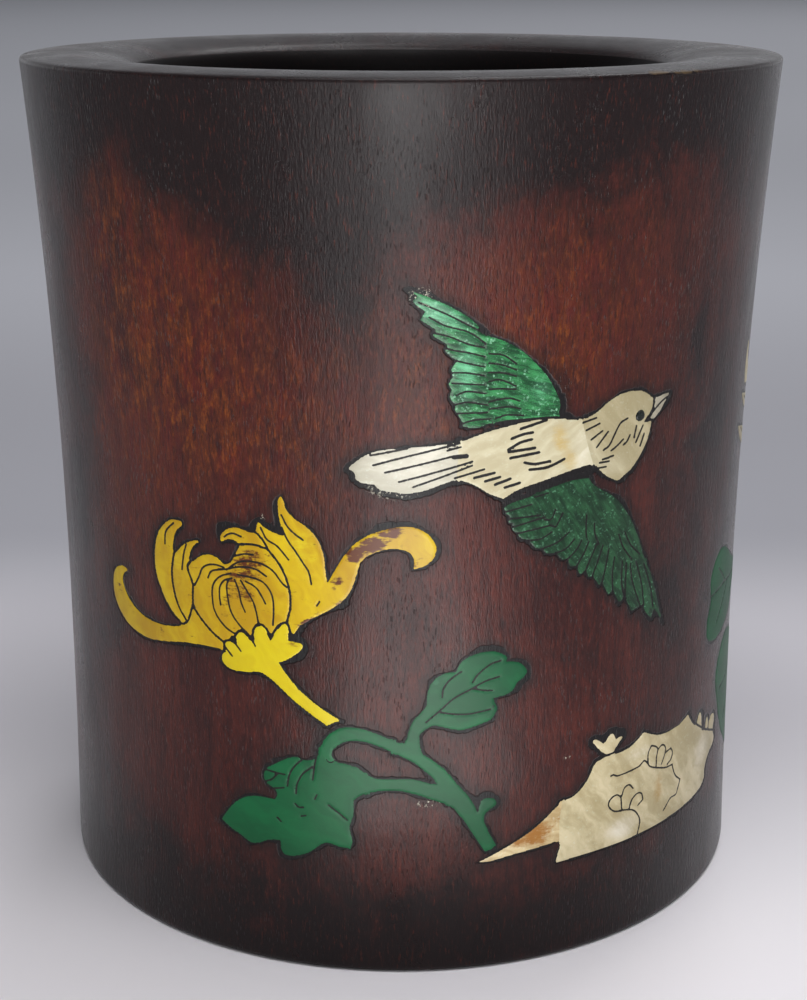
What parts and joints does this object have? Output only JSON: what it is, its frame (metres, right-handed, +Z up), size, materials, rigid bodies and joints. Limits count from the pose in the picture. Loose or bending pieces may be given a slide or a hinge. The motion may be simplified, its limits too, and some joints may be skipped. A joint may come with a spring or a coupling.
{
  "type": "brush holder pot",
  "caption": "Round hardwood pot, slightly waisted, with a thick rim and a deep bore that holds writing brushes upright; flush inlays of a bird, flowers, leaves and a rock.",
  "frame": {"origin": "centre of the pot's footprint, on the surface it stands on", "axes": "+Z up along the bore; -Y is the front, with the bird facing +X"},
  "size_m": [0.1448, 0.1448, 0.16],
  "materials": {
    "wood": "polished dark red hardwood",
    "ivory_shell": "satin",
    "grey_shell": "satin",
    "dark_horn": "gloss",
    "green_shell": "satin, pearly",
    "yellow_shell": "satin",
    "lemon_shell": "satin",
    "green_bone": "satin",
    "gold_shell": "satin, pearly"
  },
  "bodies": {
    "root": {"pot_wall": "wood", "base_disc": "wood", "base_plug": "wood", "bird_tail": "ivory_shell", "bird_torso": "ivory_shell", "bird_head": "ivory_shell", "rock_face": "ivory_shell", "rock_floret": "ivory_shell", "rock_petal_inner": "ivory_shell", "rock_petal_middle": "ivory_shell", "rock_petal_outer": "ivory_shell", "side_petal_low": "ivory_shell", "side_petal_middle": "ivory_shell", "side_petal_top": "ivory_shell", "side_bloom": "ivory_shell", "bird_beak": "grey_shell", "bird_eye": "dark_horn", "upper_wing_flight": "green_shell", "upper_wing_coverts": "green_shell", "lower_wing_coverts": "green_shell", "lower_wing_flight": "green_shell", "petal_curl_left": "yellow_shell", "petal_tall_left": "yellow_shell", "petal_small_left": "yellow_shell", "petal_top_curl": "yellow_shell", "flower_heart": "yellow_shell", "petals_right": "yellow_shell", "calyx_and_stem": "lemon_shell", "stem_arch": "green_bone", "leaf_left": "green_bone", "leaf_twig": "green_bone", "stem_main": "green_bone", "leaf_upper": "green_bone", "side_leaf_high": "green_bone", "side_leaf_low": "green_bone", "side_stem": "green_bone", "rock_tip": "gold_shell"}
  },
  "joints": []
}
